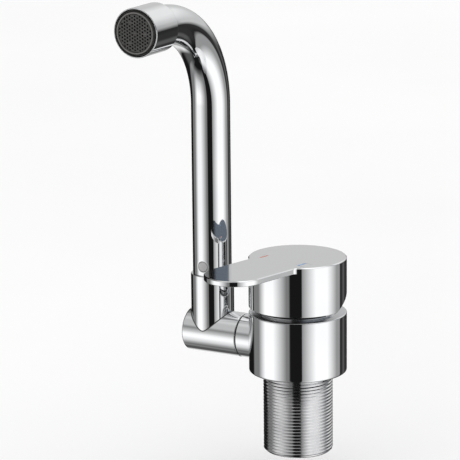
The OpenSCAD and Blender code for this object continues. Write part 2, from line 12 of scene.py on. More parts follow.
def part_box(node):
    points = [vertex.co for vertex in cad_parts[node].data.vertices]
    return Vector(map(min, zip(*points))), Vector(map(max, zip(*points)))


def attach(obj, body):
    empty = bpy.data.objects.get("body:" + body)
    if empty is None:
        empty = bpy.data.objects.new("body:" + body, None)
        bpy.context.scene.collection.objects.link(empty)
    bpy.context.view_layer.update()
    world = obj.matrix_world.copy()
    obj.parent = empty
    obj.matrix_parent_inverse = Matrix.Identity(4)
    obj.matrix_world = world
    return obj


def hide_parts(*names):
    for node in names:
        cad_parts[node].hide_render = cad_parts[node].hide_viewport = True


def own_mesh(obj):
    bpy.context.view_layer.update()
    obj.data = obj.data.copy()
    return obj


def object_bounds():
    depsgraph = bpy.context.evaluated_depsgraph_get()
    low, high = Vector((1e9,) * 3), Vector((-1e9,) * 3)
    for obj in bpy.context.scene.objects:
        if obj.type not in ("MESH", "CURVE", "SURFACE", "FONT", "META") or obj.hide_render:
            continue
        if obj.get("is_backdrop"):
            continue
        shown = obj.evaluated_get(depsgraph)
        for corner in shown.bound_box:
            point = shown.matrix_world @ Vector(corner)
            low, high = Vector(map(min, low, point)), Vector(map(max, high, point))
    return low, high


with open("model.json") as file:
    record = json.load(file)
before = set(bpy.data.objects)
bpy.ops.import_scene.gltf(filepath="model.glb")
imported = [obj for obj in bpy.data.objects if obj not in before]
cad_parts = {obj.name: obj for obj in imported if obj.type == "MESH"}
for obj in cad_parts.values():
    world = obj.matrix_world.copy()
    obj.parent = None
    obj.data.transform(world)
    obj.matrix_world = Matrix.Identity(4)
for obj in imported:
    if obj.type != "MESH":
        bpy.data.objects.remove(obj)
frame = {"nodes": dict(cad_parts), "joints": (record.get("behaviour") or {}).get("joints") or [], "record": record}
cad_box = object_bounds()
joints = {joint["name"]: joint for joint in frame["joints"]}
mounts = {mount["name"]: mount for mount in frame["record"]["mounts"]}


# Tap body: a round brass casting with a short boss on its side for the fold hinge.
# It is turned outside, bored for the cartridge, the shank and the two hose inlets, then polished and
# chrome plated. Every edge keeps the small rounding that polishing leaves.
class Wire:
    """A value inside a material. Sums and products of wires add Math nodes; node() adds any other node."""

    def __init__(self, socket):
        self.socket = socket

    def node(self, kind, settings=None, inputs=None, output=0):
        """Adds a node of a kind, sets its settings and then its inputs, and returns one of its outputs."""
        made = self.socket.id_data.nodes.new(kind)
        for name, value in (settings or {}).items():
            if name == "stops":
                for stop, (place, colour) in zip(made.color_ramp.elements, value):
                    stop.position = place
                    stop.color = (*colour, 1)
            else:
                setattr(made, name, value)
        for name, value in (inputs or {}).items():
            feed(made.inputs[name], value)
        return Wire(made.outputs[output])

    def maths(self, operation, *values):
        """A Math node with an operation on wires and numbers."""
        return self.node("ShaderNodeMath", {"operation": operation}, dict(enumerate(values)))

    def __add__(self, other):
        return self.maths("ADD", self, other)

    def __sub__(self, other):
        return self.maths("SUBTRACT", self, other)

    def __rsub__(self, other):
        return self.maths("SUBTRACT", other, self)

    def __mul__(self, other):
        return self.maths("MULTIPLY", self, other)

    __radd__ = __add__
    __rmul__ = __mul__


def feed(socket, value):
    """Links a wire to an input, or sets the input to a plain value."""
    if isinstance(value, Wire):
        socket.id_data.links.new(value.socket, socket)
    else:
        socket.default_value = value


def new_finish(name):
    """A new material with its shader, and a wire that carries the place on the piece."""
    material = bpy.data.materials.new(name)
    material.use_nodes = True
    nodes = material.node_tree.nodes
    return material, nodes["Principled BSDF"], Wire(nodes.new("ShaderNodeTexCoord").outputs["Object"])


def clouds(place, scale, detail=3.0):
    """Soft random patches of a size of about 1 / scale."""
    return place.node("ShaderNodeTexNoise", {}, {"Vector": place, "Scale": scale, "Detail": detail}, "Fac")


def between(share, dark, light, start=0.3, end=0.7):
    """A colour that goes from dark to light as share goes from start to end."""
    return share.node("ShaderNodeValToRGB", {"stops": [(start, dark), (end, light)]}, {"Fac": share})


def relief(place, height, distance):
    """A normal that is raised by height, up to distance."""
    return place.node("ShaderNodeBump", {}, {"Height": height, "Distance": distance}, "Normal")


def ramp(value, start, end):
    """Goes evenly from 0 at start to 1 at end."""
    limits = {"Value": value, "From Min": start, "From Max": end}
    return value.node("ShaderNodeMapRange", {"clamp": True}, limits)


def mixed(share, first, second):
    """The first colour where share is 0, the second where it is 1."""
    return share.node("ShaderNodeMix", {"data_type": "RGBA"}, {0: share, 6: first, 7: (*second, 1)}, 2)


def split(place):
    """The three coordinates of a place."""
    return [place.node("ShaderNodeSeparateXYZ", {}, {"Vector": place}, axis) for axis in "XYZ"]


def distance(first, second):
    """How far a place is from an axis, from its two coordinates across that axis."""
    return first.maths("SQRT", first * first + second * second)


def feed_finish(shader, place, tint, polish, parts):
    """Feeds a shader its tint and its polish, which change on special parts of the piece.

    Each part is a function that gives 1 there and 0 elsewhere, its own tint, and how much rougher it is.
    """
    for part, part_tint, part_rough in parts:
        share = part(place)
        tint = mixed(share, tint, part_tint)
        polish = polish + part_rough * share
    feed(shader.inputs["Base Color"], tint)
    feed(shader.inputs["Roughness"], polish)


def metal_finish(name, dark, light, rough, rough_spread, patch, parts=(), fineness=12):
    """A plated or turned metal: its tint and polish vary in soft patches, and its polish in fine ones too."""
    material, shader, place = new_finish(name)
    patches = clouds(place, patch)
    fine = clouds(place, patch * fineness)
    feed_finish(shader, place, between(patches, dark, light), rough + rough_spread * (patches + fine), parts)
    shader.inputs["Metallic"].default_value = 1
    return material


def chrome_finish(name, *parts):
    """Bright chrome plate, with any parts of the piece that are less bright."""
    return metal_finish(name, (0.80, 0.81, 0.82), (0.84, 0.845, 0.85), rough=0.02, rough_spread=0.015,
                        patch=55.0, parts=parts)


def face_at(height, skin=0.00002):
    """A part for feed_finish: the flat top of a piece, at a height."""
    return lambda place: ramp(split(place)[2], height - 3 * skin, height - skin)


chrome = chrome_finish("chrome_plate")


def directions(angles):
    """Unit directions in a plane: (cos a, sin a)."""
    return np.stack([np.cos(angles), np.sin(angles)], axis=-1)


def arc(centre, radius, start, end, count):
    """Points of an arc in a plane, as centre + radius * (cos, sin), and the directions from its centre."""
    outward = directions(np.linspace(start, end, count + 1))
    return np.asarray(centre) + radius * outward, outward


def unit(vectors):
    """Vectors with their lengths made 1."""
    return vectors / np.linalg.norm(vectors, axis=1, keepdims=True)


edge_steps = 6


def rounded(corners, closed=False, steps=edge_steps):
    """An outline through corners of (radius, height, rounding).

    Each rounded corner gives way to an arc that touches both of its sides: the arc's centre lies on the
    corner's bisector, rounding / sin(half angle) away from the corner.
    """
    corner = np.array(corners, float)
    point, bend = corner[:, :2], corner[:, 2]
    if not closed:
        point, bend = point[1:-1], bend[1:-1]
        last, following = corner[:-2, :2], corner[2:, :2]
    else:
        last, following = np.roll(point, 1, 0), np.roll(point, -1, 0)
    to_last, to_next = unit(last - point), unit(following - point)
    half = np.arccos(np.clip((to_last * to_next).sum(1), -1, 1))[:, None] / 2
    middle = unit(to_last + to_next)
    centre = point + middle * bend[:, None] / np.sin(half)
    first = (to_last / np.tan(half) - middle / np.sin(half))[:, None]
    final = (to_next / np.tan(half) - middle / np.sin(half))[:, None]
    share = np.linspace(0, 1, steps + 1)
    sweep = np.pi - 2 * half
    turned = np.sin((1 - share) * sweep)[..., None] * first + np.sin(share * sweep)[..., None] * final
    points = centre[:, None] + bend[:, None, None] * turned / np.sin(sweep)[..., None]
    kept = np.ones(points.shape[:2], bool)
    kept[bend == 0, 1:] = False
    outline = points[kept]
    if closed:
        return np.concatenate([outline, outline[:1]])
    return np.concatenate([corner[:1, :2], outline, corner[-1:, :2]])


def spun(outline, angles):
    """An outline of (radius, height) carried round z: x = r cos a, y = r sin a, z = height."""
    radius, height = np.asarray(outline, float).T
    return np.stack([
        np.outer(radius, np.cos(angles)),
        np.outer(radius, np.sin(angles)),
        np.outer(height, np.ones_like(angles)),
    ], axis=-1)


def upright(radius, low, high, steps, angles):
    """A round wall about z in even rows from low to high."""
    return spun(np.column_stack([np.full(steps + 1, radius), np.linspace(low, high, steps + 1)]), angles)


def spun_along(outline, angles):
    """An outline of (radius, reach) carried round x: x = reach, y = r cos a, z = r sin a."""
    return np.roll(spun(outline, angles), 1, axis=-1)


def placed(points, origin, x_way, z_way):
    """Points of a local frame, moved to origin with x along x_way and z along z_way."""
    basis = np.array([x_way, np.cross(z_way, x_way), z_way], float)
    return points @ basis + np.asarray(origin, float)


def from_corner(count):
    """Angles of a full turn from 45 degrees on, with count steps to each quarter."""
    return np.linspace(0.25, 2.25, 4 * count + 1) * np.pi


def tee(wall_r, branch_r, ball_r, outwards, low, high, spread, end, count, rows=10):
    """A round wall about z with a round branch or hole along x, and a rounded corner between them.

    A ball rolls along the corner. Its centre keeps ball_r from the wall, outside it for a branch and inside
    it for a hole, and ball_r from the branch. The window runs from the ball's track on the wall to a frame
    from low to high and spread to each side, the corner follows the ball, and the branch runs on to x = end.
    """
    turn = from_corner(count)
    across = (branch_r + ball_r) * np.cos(turn)
    up = (branch_r + ball_r) * np.sin(turn)
    far = wall_r + outwards * ball_r
    ahead = np.sqrt(far ** 2 - across ** 2)
    centre = np.stack([ahead, across, up], axis=-1)
    on_wall = centre * [wall_r / far, wall_r / far, 1]
    on_branch = np.stack([ahead, branch_r * np.cos(turn), branch_r * np.sin(turn)], axis=-1)

    side = np.arange(4 * count + 1)
    corners = count * np.arange(5)
    frame_angle = np.interp(side, corners, [spread, -spread, -spread, spread, spread])
    frame_up = np.interp(side, corners, [high, high, low, low, high])
    share = np.linspace(0, 1, rows + 1)[:, None]
    angle = (1 - share) * np.arctan2(on_wall[:, 1], on_wall[:, 0]) + share * frame_angle
    height = (1 - share) * up + share * frame_up
    window = np.stack([wall_r * np.cos(angle), wall_r * np.sin(angle), height], axis=-1)

    stub = np.stack([on_branch, on_branch * [0, 1, 1] + [end, 0, 0]])
    if not ball_r:
        return window, stub[:1], stub
    first, final = (on_wall - centre) / ball_r, (on_branch - centre) / ball_r
    sweep = np.arccos(np.clip((first * final).sum(1), -1, 1))[:, None]
    part = np.linspace(0, 1, edge_steps + 1)[:, None, None]
    corner = np.sin((1 - part) * sweep) * first + np.sin(part * sweep) * final
    return window, centre + ball_r * corner / np.sin(sweep), stub


def window_angles(spread, count, rest):
    """Angles round the back of a wall with a window, in rest steps, and all round the wall.

    The second lot starts with count steps across the window.
    """
    front = np.linspace(spread, -spread, count + 1)
    back = np.linspace(-spread, spread - 2 * np.pi, rest + 1)
    return back, np.concatenate([front, back[1:]])


def ring(centre, radius, height, count=48):
    """Points of a level circle, open at its end."""
    points = arc(centre, radius, 0, 2 * np.pi, count)[0][:-1]
    return np.column_stack([points, np.full(len(points), height)])


def closed_loop(points):
    """A loop of points with its first point again at its end."""
    return np.concatenate([points, points[:1]])


def filled(*loops):
    """A flat face inside the first loop and outside the others, as points and triangles."""
    triangles = tessellate_polygon([[Vector(point) for point in loop] for loop in loops])
    return np.concatenate(loops), np.array(triangles)


merge_distance, large_face_lead = 5e-7, 80


def make_piece(name, body, slot, material, replaced, grids, flats=()):
    """One closed piece from grids of points and flat faces.

    Points that meet are merged, faces turn outwards, and large faces lead the smooth normals, so that a
    flat or round wall stays true right up to its rounded edges.
    """
    points, faces, first = [], [], 0
    for grid in grids:
        rows, columns = grid.shape[:2]
        index = np.arange(rows * columns).reshape(rows, columns) + first
        quads = np.stack([index[:-1, :-1], index[:-1, 1:], index[1:, 1:], index[1:, :-1]], axis=-1)
        faces += quads.reshape(-1, 4).tolist()
        points.append(grid.reshape(-1, 3))
        first += rows * columns
    for corners, triangles in flats:
        faces += (triangles + first).tolist()
        points.append(corners)
        first += len(corners)
    mesh = bpy.data.meshes.new(name)
    mesh.from_pydata(np.concatenate(points).tolist(), [], faces)
    shell = bmesh.new()
    shell.from_mesh(mesh)
    bmesh.ops.remove_doubles(shell, verts=shell.verts, dist=merge_distance)
    bmesh.ops.recalc_face_normals(shell, faces=shell.faces)
    shell.to_mesh(mesh)
    shell.free()
    mesh.polygons.foreach_set("use_smooth", np.ones(len(mesh.polygons), bool))
    mesh.materials.append(material)
    made = bpy.data.objects.new(name, mesh)
    bpy.context.scene.collection.objects.link(made)
    even = made.modifiers.new("even_normals", "WEIGHTED_NORMAL")
    even.weight = large_face_lead
    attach(made, body)
    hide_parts(*replaced)
    return made


UP, FRONT, LEFT, MIDDLE = (0, 0, 1), (0, -1, 0), (-1, 0, 0), (0, 0, 0)
# The room between pieces that fit together.
fit = 0.00005
hinge = np.array(joints["spout_fold"]["pos_m"])
body_low, body_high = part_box("body_shell")
body_r, body_top = body_high.x, body_high.z
boss_r, boss_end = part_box("swing_hub")[1].y, -body_low.x
foot_edge, lip_edge, boss_edge, boss_fillet = 0.001, 0.0005, 0.0003, 0.0003
nut_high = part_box("cartridge_nut")[1]
block_low, block_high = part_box("cartridge_base")
seal_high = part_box("deck_seal")[1]
mouth_edge, seal_w = 0.0002, 0.0022
socket_r, socket_top = 0.01515, 0.003
inlets = [mounts[name] for name in ("hot_inlet", "cold_inlet")]
inlet_r = inlets[0]["dims"]["r_mm"] / 1000
inlet_top = inlets[0]["pos_m"][2] + inlets[0]["dims"]["length_mm"] / 2000
port_r, port_x, port_y = 0.0014, 0.003, -0.0026
bolt_hole_r, bolt_hole_end = 0.00505, 0.0196
wall_low, wall_high = foot_edge - hinge[2], body_top - lip_edge - hinge[2]
boss_window, wall_steps, back_steps = math.radians(52), 48, 140
back, around = window_angles(boss_window, wall_steps, back_steps)

window, corner, boss = tee(body_r, boss_r, boss_fillet, 1, wall_low, wall_high, boss_window,
                           boss_end - boss_edge, wall_steps)
wall = upright(body_r, wall_low, wall_high, wall_steps, back)
boss_face = spun_along(rounded([
    (boss_r, boss_end - 2 * boss_edge, 0), (boss_r, boss_end, boss_edge), (bolt_hole_r, boss_end, boss_edge),
    (bolt_hole_r, bolt_hole_end, 0), (0, bolt_hole_end, 0),
])[1:], from_corner(wall_steps))
underside = rounded([
    (socket_r, socket_top, 0), (socket_r, 0, 0), (seal_high.x - seal_w - fit, 0, 0),
    (seal_high.x - seal_w - fit, seal_high.z + fit, 0), (seal_high.x + fit, seal_high.z + fit, 0),
    (seal_high.x + fit, 0, 0), (body_r, 0, foot_edge), (body_r, 2 * foot_edge, 0),
])[:-1]
chamber = rounded([
    (body_r, body_top - 2 * lip_edge, 0), (body_r, body_top, lip_edge),
    (nut_high.x + fit, body_top, mouth_edge), (nut_high.x + fit, block_high.z, 0),
    (block_high.x + fit, block_high.z, 0), (block_high.x + fit, block_low.z, 0),
])[1:]
inlet_rings = [[ring(inlet["pos_m"][:2], inlet_r, z) for z in (socket_top, inlet_top)] for inlet in inlets]
port_rings = [[ring((x, port_y), port_r, z) for z in (inlet_top, block_low.z)] for x in (-port_x, port_x)]
side_axis = (0, 0, hinge[2])
below, above = [placed(spun(outline, around), MIDDLE, LEFT, UP) for outline in (underside, chamber)]

# The top face is turned but not polished.
body_chrome = chrome_finish("body_chrome", (face_at(body_top), (0.7, 0.71, 0.72), 0.25))
make_piece(
    "tap_body", "base", "chrome", body_chrome, ["body_shell"],
    [placed(grid, side_axis, LEFT, UP) for grid in (window, corner, boss, wall, boss_face)] + [below, above]
    + [np.stack([closed_loop(loop) for loop in rings]) for rings in inlet_rings + port_rings],
    [
        filled(below[0, :-1], *[low for low, _ in inlet_rings]),
        filled(above[-1, :-1], *[high for _, high in port_rings]),
        *[filled(inlet[1], port[0]) for inlet, port in zip(inlet_rings, port_rings)],
    ],
)


# Mounting shank: a hollow brass tube with a fine thread, screwed up into the body.
# It goes through the worktop, takes the back nut from below and lets the hoses through its bore.
# The thread is cut before plating, so its flanks are less bright than the polished body.
thread_metal = metal_finish("plated_thread", (0.70, 0.70, 0.71), (0.80, 0.80, 0.805), rough=0.05,
                            rough_spread=0.03, patch=90.0)
shank_low, shank_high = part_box("threaded_shank")
shank_r = mounts["shank"]["dims"]["r_mm"] / 1000
thread_pitch, thread_depth = 0.0015, 0.00045
shank_bore_r, shank_neck_r = 0.013, 0.0151
shank_chamfer, bore_chamfer = 0.0009, 0.0005
rows_per_pitch, shank_sides = 12, 120


def thread_radius(height, angle):
    """The thread's radius: a wave of thread_depth whose phase runs on by one pitch a turn.

    Polish and plating have rounded its crests and filled its roots. The chamfer cuts down its lower end.
    """
    phase = 2 * np.pi * height / thread_pitch - angle
    chamfer = shank_r - np.clip(shank_low.z + shank_chamfer - height, 0, shank_chamfer)
    return np.minimum(shank_r - thread_depth * (1 - np.cos(phase)) / 2, chamfer)


shank_turn = np.linspace(0, 2 * np.pi, shank_sides + 1)
thread_rows = round(-shank_low.z / thread_pitch * rows_per_pitch)
row_z = np.linspace(0, shank_low.z, thread_rows + 1)[:, None]
row_r = thread_radius(row_z, shank_turn)
thread = np.stack([row_r * np.cos(shank_turn), row_r * np.sin(shank_turn), row_z + 0 * shank_turn], axis=-1)
inside = spun([
    (shank_bore_r + bore_chamfer, shank_low.z), (shank_bore_r, shank_low.z + bore_chamfer),
    (shank_bore_r, shank_high.z), (shank_neck_r, shank_high.z), (shank_neck_r, 0),
], shank_turn)
make_piece("shank", "base", "plated_thread", thread_metal, ["threaded_shank"],
           [np.concatenate([thread, inside, thread[:1]])])


# Deck seal: a flat ring of black rubber, pressed into the groove in the body's underside.
# The back nut pulls the body down on it, so it closes the gap between the tap and the worktop.
def moulded_finish(name, dark, light, patch, rough, rough_spread, grain_scale, grain_depth, parts=()):
    """A moulded material: a faint flow pattern in its colour, a fine grain in its polish and its relief."""
    material, shader, place = new_finish(name)
    grain = clouds(place, grain_scale)
    tint = between(clouds(place, patch), dark, light)
    feed_finish(shader, place, tint, rough + rough_spread * grain, parts)
    feed(shader.inputs["Normal"], relief(place, grain, grain_depth))
    return material


rubber = moulded_finish("seal_rubber", (0.012, 0.012, 0.012), (0.03, 0.03, 0.03), patch=300.0, rough=0.55,
                        rough_spread=0.2, grain_scale=4000.0, grain_depth=0.00002)
circle_sides = 128
circle = np.linspace(0, 2 * np.pi, circle_sides + 1)
seal_in, seal_edge = seal_high.x - seal_w, 0.0003
make_piece("deck_ring", "base", "seal_rubber", rubber, ["deck_seal"], [spun(rounded([
    (seal_in, 0, seal_edge), (seal_high.x, 0, seal_edge),
    (seal_high.x, seal_high.z, seal_edge), (seal_in, seal_high.z, seal_edge),
], closed=True), circle)])


# Cartridge: a black moulded shell with two lapped ceramic discs, clamped in the body by a chromed ring nut.
# The stem tilts on a steel pin in the rotor and pushes the upper disc; round rubber seals close the ports.
def plastic_finish(name, dark, light, rough, patch, parts=()):
    """Moulded plastic with a satin grain."""
    return moulded_finish(name, dark, light, patch, rough, rough_spread=0.12, grain_scale=2500.0,
                          grain_depth=0.00001, parts=parts)


def dress(material, *names):
    """Gives solids of the frame their finish."""
    for name in names:
        frame["nodes"][name].material_slots[0].material = material


pale_plastic = plastic_finish("cartridge_plastic", (0.68, 0.69, 0.70), (0.78, 0.79, 0.80), rough=0.35,
                              patch=120.0)
ceramic = plastic_finish("lapped_ceramic", (0.86, 0.85, 0.82), (0.92, 0.91, 0.89), rough=0.12, patch=200.0)
steel = metal_finish("stainless_steel", (0.52, 0.52, 0.53), (0.64, 0.64, 0.65), rough=0.2, rough_spread=0.08,
                     patch=200.0)
black_plastic = plastic_finish("housing_plastic", (0.025, 0.025, 0.027), (0.045, 0.045, 0.047), rough=0.4,
                               patch=150.0)
dress(pale_plastic, "cartridge_base", "cartridge_rotor", "disc_carrier")
dress(black_plastic, "cartridge_housing")
dress(ceramic, "fixed_ceramic_disc", "moving_ceramic_disc")
dress(chrome, "cartridge_nut")
dress(steel, "stem_pivot_pin", "cartridge_stem")
dress(rubber, "cartridge_base_seals")


# Lever: one chromed casting, a hollow cap with an upright wall and a flat tongue that the hand lifts. A boss
# inside it holds the stem. Its back has the grub screw's hole, and is cut off on a slope, so that the cap can
# tip. Its plan is the cap's circle, two hollow blends, two straight sides and a round tip.
lever_low, lever_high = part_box("lever_handle")
lift_axis = joints["lever_lift"]["axis"]
lever_back = (lift_axis[1], -lift_axis[0], 0)
cap_r, cap_top, rim_z = lever_high.x, lever_high.z, lever_low.z
cap_wall, tongue_t, belt_z = 0.002, 0.0026, 0.0435
slope_start, slope_rise = 0.0016, math.tan(math.radians(26.5))
tongue_half, tongue_reach, blend_r = 0.014, 0.056, 0.0025
top_edge, under_edge, rim_edge, under_fillet = 0.00045, 0.0004, 0.0002, 0.0008
mark_side, mark_ahead, mark_len, mark_w, mark_depth = 0.0114, 0.0101, 0.0058, 0.0013, 0.0003
grub_low, grub_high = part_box("lever_grub_screw")
grub_r, grub_z, grub_edge = 0.00205, (grub_low.z + grub_high.z) / 2, 0.0002
stem_boss_r, stem_boss_rise = 0.007, 0.0071
stem_boss_z = joints["lever_lift"]["pos_m"][2] + stem_boss_rise
stem_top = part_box("cartridge_stem")[1].z + fit
stem_half_x, stem_half_y = 0.00305, 0.00355
blend_steps, tip_steps, side_steps, mark_steps = 16, 72, 12, 12
hole_window, hole_steps, level_steps, slope_steps = math.radians(20), 24, 24, 35
roof_z, mark_floor = cap_top - tongue_t, cap_top - mark_depth
blend_x = tongue_half + blend_r
blend_y = -math.sqrt((cap_r + blend_r) ** 2 - blend_x ** 2)
tip_y = tongue_half - tongue_reach
meet = math.atan2(blend_y, blend_x)

right_blend, right_out = arc((blend_x, blend_y), blend_r, meet + np.pi, np.pi, blend_steps)
tip, tip_out = arc((0, tip_y), tongue_half, 0, -np.pi, tip_steps)
left_blend, left_out = arc((-blend_x, blend_y), blend_r, 0, -meet, blend_steps)
side_share = np.linspace(0, 1, side_steps + 1)[1:-1, None]
right_side = right_blend[-1] + side_share * (tip[0] - right_blend[-1])
left_side = tip[-1] + side_share * (left_blend[0] - tip[-1])
tongue = np.concatenate([right_blend, right_side, tip, left_side, left_blend])
straight_out = np.tile([1, 0], (len(side_share), 1))
tongue_out = np.concatenate([-right_out, straight_out, tip_out, -straight_out, -left_out])
slope_angle = -np.pi - math.asin(slope_start / cap_r)
hole_angles = np.linspace(hole_window, -hole_window, hole_steps + 1) - 1.5 * np.pi
left_angles = np.concatenate([
    np.linspace(-np.pi - meet, slope_angle, level_steps + 1)[:-1],
    np.linspace(slope_angle, hole_angles[0], slope_steps + 1),
])
right_angles = (-3 * np.pi - left_angles)[::-1]
cap_angles = np.concatenate([left_angles[:-1], hole_angles, right_angles[1:]])
front_angles = np.linspace(meet, -np.pi - meet, len(tongue))
front_out, cap_out = directions(front_angles), directions(cap_angles)
outline = np.concatenate([tongue, cap_r * cap_out[1:]])
outline_out = np.concatenate([tongue_out, cap_out[1:]])
# The tongue's underside narrows to nothing where it meets the cap, and its roundings shrink with it.
overhang_share = 0.4
bend_room = overhang_share * (np.linalg.norm(tongue, axis=1) - cap_r)
under_bend = np.minimum(under_edge, bend_room)
wall_bend = np.minimum(under_fillet, bend_room)


def level(points, height):
    """Plan points with their heights."""
    return np.column_stack([points, np.broadcast_to(height, len(points))])


quarter_round = 1 - arc((0, 0), 1, 0, np.pi / 2, edge_steps)[1]
softness, soft_steps = 0.3, 4
soft_chamfer = rounded([(0, 2, 0), (0, 1, softness), (1, 0, softness), (2, 0, 0)], steps=soft_steps)[1:-1]


def bent_edge(points, outward, bend, height, side, profile=quarter_round):
    """An edge along a plan outline, from its upright wall to a level face above or below it.

    The profile's points say how far in from the wall and how far from the face they are, in shares of bend.
    """
    bend = np.broadcast_to(bend, len(points))
    return np.stack([
        level(points - outward * (bend * inward)[:, None], height - side * bend * drop)
        for inward, drop in profile
    ])


top_bend = bent_edge(outline, outline_out, top_edge, cap_top, 1, soft_chamfer)
band_low = np.concatenate([roof_z + under_bend, np.full(len(cap_out) - 1, roof_z)])
band = np.stack([level(outline, band_low), top_bend[0]])
under = bent_edge(tongue, tongue_out, under_bend, roof_z, -1)
wall_top = front_out * (cap_r + wall_bend)[:, None]
under_flat = np.stack([under[-1], level(wall_top, roof_z)])
under_corner = np.stack([
    level(front_out * (cap_r + wall_bend * outer)[:, None], roof_z - wall_bend * drop)
    for drop, outer in quarter_round
])
steps_up = np.linspace(0, 1, hole_steps + 1)[:, None]


def round_wall(radius, outward, high):
    """An upright wall from the belt line up to a height that may vary round it."""
    heights = belt_z + steps_up * (np.broadcast_to(high, len(outward)) - belt_z)
    return np.concatenate([
        np.broadcast_to(radius * outward, (len(steps_up), *outward.shape)), heights[..., None],
    ], axis=-1)


inner_r = cap_r - cap_wall
hole_low, hole_high = belt_z - grub_z, roof_z - grub_z
hole_out, hole_corner, outer_hole = tee(cap_r, grub_r, grub_edge, -1, hole_low, hole_high, hole_window,
                                        inner_r, hole_steps)
hole_in, _, inner_hole = tee(inner_r, grub_r, 0, -1, hole_low, hole_high, hole_window, inner_r, hole_steps)
hole_wall = np.stack([outer_hole[0], inner_hole[0]])
back_window = len(cap_angles) // 2 - hole_steps // 2
left_cap, right_cap = cap_out[:back_window + 1], cap_out[back_window + hole_steps:]
whole = np.concatenate([front_angles, cap_angles[1:]])


def rim_row(radius, lift=0.0):
    """Points round the cap on its lower edge: level at the front, and rising evenly behind slope_start."""
    points = radius * directions(whole)
    return level(points, rim_z + lift + slope_rise * np.maximum(0, points[:, 1] - slope_start))


lower_wall = np.concatenate([
    spun([(cap_r, belt_z)], whole),
    [rim_row(cap_r - rim_edge * inward, rim_edge * lift) for inward, lift in quarter_round],
    [rim_row(inner_r)], spun([(inner_r, belt_z)], whole),
])
ceiling = [(inner_r, roof_z), (stem_boss_r, roof_z), (stem_boss_r, stem_boss_z)]
stem_hole = np.array([[-1, -1], [1, -1], [1, 1], [-1, 1]]) * [stem_half_x, stem_half_y]


def mark_outline(side):
    """The plan of one mark: a bar along the lever with round ends."""
    half = (mark_len - mark_w) / 2
    front_end = arc((side * mark_side, -mark_ahead - half), mark_w / 2, -np.pi, 0, mark_steps)
    back_end = arc((side * mark_side, -mark_ahead + half), mark_w / 2, 0, np.pi, mark_steps)
    return np.concatenate([front_end[0], back_end[0]]), np.concatenate([front_end[1], back_end[1]])


mark_plans = [mark_outline(side)[0] for side in (-1, 1)]
cap_walls = [
    round_wall(radius, outward, high)
    for radius, front_high in ((cap_r, roof_z - wall_bend), (inner_r, roof_z))
    for outward, high in ((front_out, front_high), (left_cap, roof_z), (right_cap, roof_z))
]
lever_grids = [
    *[grid[:, np.r_[0:len(outline), 0]] for grid in (top_bend, band)],
    under, under_flat, under_corner, *cap_walls, lower_wall, spun(ceiling, whole),
    *[placed(grid, (0, 0, grub_z), (0, 1, 0), UP) for grid in (hole_out, hole_corner, hole_wall, hole_in)],
    *[np.stack([level(closed_loop(plan), z) for z in (cap_top, mark_floor)]) for plan in mark_plans],
    np.stack([level(closed_loop(stem_hole), z) for z in (stem_boss_z, stem_top)]),
]
lever_flats = [
    filled(top_bend[-1], *[level(plan, cap_top) for plan in mark_plans]),
    *[filled(level(plan, mark_floor)) for plan in mark_plans],
    filled(spun(ceiling[-1:], whole)[0, :-1], level(stem_hole, stem_boss_z)),
    filled(level(stem_hole, stem_top)),
]


def turned_to_rest(points):
    """Points of the lever, drawn with its tongue along -y, turned to where the lever rests."""
    return placed(points, MIDDLE, np.cross(lever_back, UP), UP)


def hollow(place, margin=0.0002):
    """1 inside the cap, where the casting is left raw and rough and its chrome is painted dark as painted shade,
    and 0 outside.
    """
    x, y, z = split(place)
    inside_wall = ramp(distance(x, y), inner_r + 2 * margin, inner_r + margin)
    return inside_wall * ramp(z, roof_z + 2 * margin, roof_z + margin)


# The flat top has a soft sheen instead of a mirror's polish. Inside the cap the raw casting is rough, and painted
# dark as painted shade.
lever_chrome = chrome_finish(
    "lever_chrome", (hollow, (0.1, 0.1, 0.1), 0.5), (face_at(cap_top), (0.82, 0.825, 0.83), 0.07),
)
make_piece("lever", "lever", "chrome", lever_chrome, ["lever_handle"],
           [turned_to_rest(grid) for grid in lever_grids],
           [(turned_to_rest(points), triangles) for points, triangles in lever_flats])
dress(steel, "lever_grub_screw")


# Hot and cold marks: two short bars of enamel, red and blue, run into grooves in the cap's top.
# The enamel shrinks a little as it sets, so each bar is faintly rounded at its edges.
def enamel_finish(name, dark, light, patch=900.0, rough=0.2, rough_spread=0.1, grain_scale=2500.0, coat=0.3):
    """Glossy enamel with a slightly uneven colour."""
    material, shader, place = new_finish(name)
    feed(shader.inputs["Base Color"], between(clouds(place, patch), dark, light))
    feed(shader.inputs["Roughness"], rough + rough_spread * clouds(place, grain_scale))
    shader.inputs["Coat Weight"].default_value = coat
    return material


red_enamel = enamel_finish("red_enamel", (0.48, 0.10, 0.05), (0.62, 0.17, 0.10))
blue_enamel = enamel_finish("blue_enamel", (0.06, 0.21, 0.48), (0.11, 0.30, 0.60))
mark_edge, mark_gap = 0.00012, 0.00002
for name, node, side, slot, material in (
    ("hot_bar", "hot_mark", -1, "hot_enamel", red_enamel),
    ("cold_bar", "cold_mark", 1, "cold_enamel", blue_enamel),
):
    plan, plan_out = mark_outline(side)
    plan = closed_loop(plan - mark_gap * plan_out)
    plan_out = closed_loop(plan_out)
    edge = bent_edge(plan, plan_out, mark_edge, cap_top, 1)
    foot = level(plan, mark_floor + mark_gap)
    make_piece(name, "lever", slot, material, [node],
               [turned_to_rest(np.concatenate([foot[None], edge]))],
               [filled(turned_to_rest(foot[:-1])), filled(turned_to_rest(edge[-1, :-1]))])


# Fold hinge: a hollow steel bolt through the hub, with two round seals and a thin black washer between
# the boss and the hub. The nip of the washer is what holds the spout where it is put.
def make_turned(name, body, slot, material, node, axis, way, outline):
    """A piece turned on a lathe: an outline of (radius, reach along way), carried round an axis."""
    make_piece(name, body, slot, material, [node], [placed(spun_along(outline, circle), axis, way, UP)])


